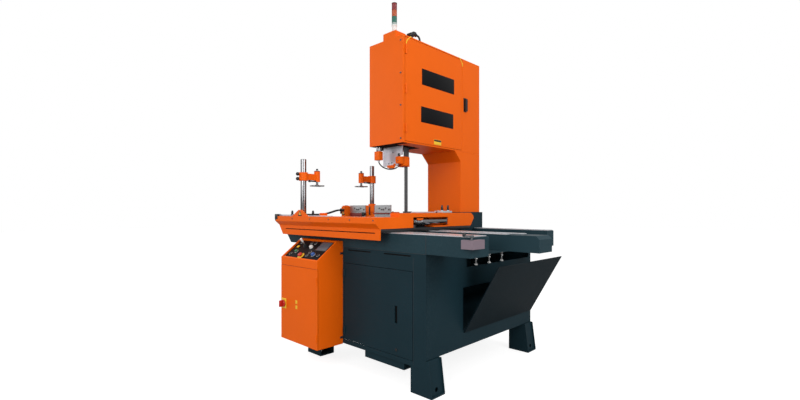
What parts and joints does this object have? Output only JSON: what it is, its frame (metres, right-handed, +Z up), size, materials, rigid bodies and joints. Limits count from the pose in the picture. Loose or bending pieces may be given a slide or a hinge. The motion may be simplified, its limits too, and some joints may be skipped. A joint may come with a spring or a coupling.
{
  "type": "vertical band saw",
  "caption": "Vertical column band saw: C-shaped saw frame sliding on a box base, roller bed, two-jaw vise, hold-downs, guide carriage and control cabinet.",
  "frame": {"origin": "on the floor at the centre of the rectangle of the four anchor holes", "axes": "+Z up, -Y towards the operator's side (the cabinet and the access door), +X the operator's right; the saw blade lies in the plane x = 0"},
  "size_m": [2.31, 1.76, 2.938],
  "materials": {
    "base_paint": "satin textured enamel, dark blue-green",
    "orange_paint": "semi-gloss enamel, orange",
    "machined_steel": "ground",
    "chromed_bar": "hard chrome",
    "grey_cast": "painted casting",
    "blade_steel": "rolled band steel",
    "black_rubber": "matt hose",
    "black_plastic": "moulded",
    "red_plastic": "moulded",
    "green_plastic": "moulded",
    "white_plastic": "moulded",
    "blue_plastic": "moulded",
    "lamp_plastic": "lamp column with coloured lenses",
    "stop_casting": "grey-purple painted casting"
  },
  "bodies": {
    "base": {"base_legs": "base_paint", "floor_pan": "base_paint", "front_wall": "base_paint", "rear_walls": "base_paint", "right_wall": "base_paint", "deck_plate": "base_paint", "front_bed_bar": "base_paint", "bed_frames": "base_paint", "wear_strips": "machined_steel", "jack_screws": "machined_steel", "linear_rails": "machined_steel", "coolant_tank": "grey_cast", "feed_cylinder": "grey_cast", "chip_chute": "grey_cast", "vise_box": "orange_paint", "front_post": "chromed_bar", "side_beam": "orange_paint", "side_roller": "machined_steel", "hose_manifold": "orange_paint", "clamp_hoses": "black_rubber", "jaw_slideway": "machined_steel", "jaw_cylinder": "grey_cast", "work_stop": "stop_casting", "cabinet_shell": "orange_paint", "console_panel": "black_plastic"},
    "saw_frame": {"saddle": "base_paint", "column": "orange_paint", "head_shell": "orange_paint", "stack_lamp": "lamp_plastic", "lower_housing": "base_paint", "gear_motor": "grey_cast", "feed_rod": "chromed_bar", "head_ways": "grey_cast", "saw_blade": "blade_steel"},
    "head_door": {"head_door": "orange_paint"},
    "door_latch": {"door_latch": "black_plastic"},
    "wheel_carrier": {"wheel_carrier": "grey_cast"},
    "upper_wheel": {"upper_wheel": "grey_cast"},
    "lower_wheel": {"lower_wheel": "grey_cast"},
    "blade_guide": {"guide_carriage": "machined_steel", "guide_blocks": "orange_paint", "coolant_hose": "black_rubber"},
    "front_arm": {"front_arm": "orange_paint"},
    "front_pad": {"front_pad": "machined_steel"},
    "rear_jaw": {"rear_jaw": "orange_paint", "jaw_plates": "machined_steel", "jaw_bars": "chromed_bar"},
    "rear_arm": {"rear_arm": "orange_paint"},
    "rear_pad": {"rear_pad": "machined_steel"},
    "slide_block": {"slide_block": "machined_steel"},
    "stop_lever": {"stop_lever": "black_plastic"},
    "access_door": {"access_door": "base_paint"},
    "chip_flap": {"chip_flap": "base_paint"},
    "cabinet_door": {"cabinet_door": "orange_paint"},
    "main_switch": {"main_switch": "red_plastic"},
    "estop_button": {"estop_button": "red_plastic"},
    "start_button": {"start_button": "green_plastic"},
    "speed_knob": {"speed_knob": "white_plastic"},
    "pressure_knob": {"pressure_knob": "blue_plastic"},
    "joystick": {"joystick": "machined_steel"}
  },
  "joints": [
    {"name": "saw_feed", "type": "slide", "parent": "base", "child": "saw_frame", "axis": [0, -1, 0], "range_m": [0, 0.43]},
    {"name": "lower_wheel_spin", "type": "hinge", "parent": "saw_frame", "child": "lower_wheel", "pos_m": [0, 0.117, 0.604], "axis": [1, 0, 0], "continuous": true},
    {"name": "blade_tension", "type": "slide", "parent": "saw_frame", "child": "wheel_carrier", "axis": [0, 0, 1], "range_m": [-0.02, 0]},
    {"name": "upper_wheel_spin", "type": "hinge", "parent": "wheel_carrier", "child": "upper_wheel", "pos_m": [0, 0.117, 2.214], "axis": [1, 0, 0], "continuous": true},
    {"name": "guide_height", "type": "slide", "parent": "saw_frame", "child": "blade_guide", "axis": [0, 0, 1], "range_m": [-0.34, 0]},
    {"name": "head_door_swing", "type": "hinge", "parent": "saw_frame", "child": "head_door", "pos_m": [0.201, -0.431, 2.2], "axis": [0, 0, -1], "range_deg": [0, 105]},
    {"name": "door_latch_turn", "type": "hinge", "parent": "saw_frame", "child": "door_latch", "pos_m": [0.2, 0.368, 2.263], "axis": [1, 0, 0], "range_deg": [0, 90]},
    {"name": "front_arm_height", "type": "slide", "parent": "base", "child": "front_arm", "axis": [0, 0, 1], "range_m": [-0.2, 0.09]},
    {"name": "front_pad_height", "type": "slide", "parent": "front_arm", "child": "front_pad", "axis": [0, 0, 1], "range_m": [-0.015, 0.025]},
    {"name": "jaw_clamp", "type": "slide", "parent": "base", "child": "rear_jaw", "axis": [0, -1, 0], "range_m": [0, 0.3]},
    {"name": "rear_arm_height", "type": "slide", "parent": "rear_jaw", "child": "rear_arm", "axis": [0, 0, 1], "range_m": [-0.2, 0.09]},
    {"name": "rear_pad_height", "type": "slide", "parent": "rear_arm", "child": "rear_pad", "axis": [0, 0, 1], "range_m": [-0.015, 0.025]},
    {"name": "slide_block_travel", "type": "slide", "parent": "base", "child": "slide_block", "axis": [0, 1, 0], "range_m": [-0.14, 0.2]},
    {"name": "stop_lever_turn", "type": "hinge", "parent": "base", "child": "stop_lever", "pos_m": [1.0415, -0.75, 1.04], "axis": [0, 0, 1], "range_deg": [0, 90]},
    {"name": "access_door_swing", "type": "hinge", "parent": "base", "child": "access_door", "pos_m": [-0.191, -0.735, 0.52], "axis": [0, 0, -1], "range_deg": [0, 80]},
    {"name": "chip_flap_tilt", "type": "hinge", "parent": "base", "child": "chip_flap", "pos_m": [0.6655, 0.2, 0.353], "axis": [0, 1, 0], "range_deg": [-22, 0]},
    {"name": "cabinet_door_swing", "type": "hinge", "parent": "base", "child": "cabinet_door", "pos_m": [-0.224, -0.985, 0.48], "axis": [0, 0, 1], "range_deg": [0, 90]},
    {"name": "main_switch_turn", "type": "hinge", "parent": "cabinet_door", "child": "main_switch", "pos_m": [-0.69, -0.98, 0.472], "axis": [0, 1, 0], "range_deg": [0, 90]},
    {"name": "estop_press", "type": "slide", "parent": "base", "child": "estop_button", "axis": [0, 0.6053, -0.796], "range_m": [0, 0.005], "stiffness_N_per_m": 400, "springref_m": -0.004},
    {"name": "start_press", "type": "slide", "parent": "base", "child": "start_button", "axis": [0, 0.6053, -0.796], "range_m": [0, 0.005], "stiffness_N_per_m": 400, "springref_m": -0.004},
    {"name": "speed_turn", "type": "hinge", "parent": "base", "child": "speed_knob", "pos_m": [-0.481, -0.85015, 0.94366], "axis": [0, -0.6053, 0.796], "range_deg": [-135, 135]},
    {"name": "pressure_turn", "type": "hinge", "parent": "base", "child": "pressure_knob", "pos_m": [-0.362, -0.91542, 0.89403], "axis": [0, -0.6053, 0.796], "range_deg": [-135, 135]},
    {"name": "joystick_tilt", "type": "hinge", "parent": "base", "child": "joystick", "pos_m": [-0.581, -0.84019, 0.94873], "axis": [1, 0, 0], "range_deg": [-18, 18], "stiffness_Nm_per_rad": 2}
  ],
  "couplings": [
    {"joint": "upper_wheel_spin", "follows": "lower_wheel_spin", "ratio": 1}
  ]
}
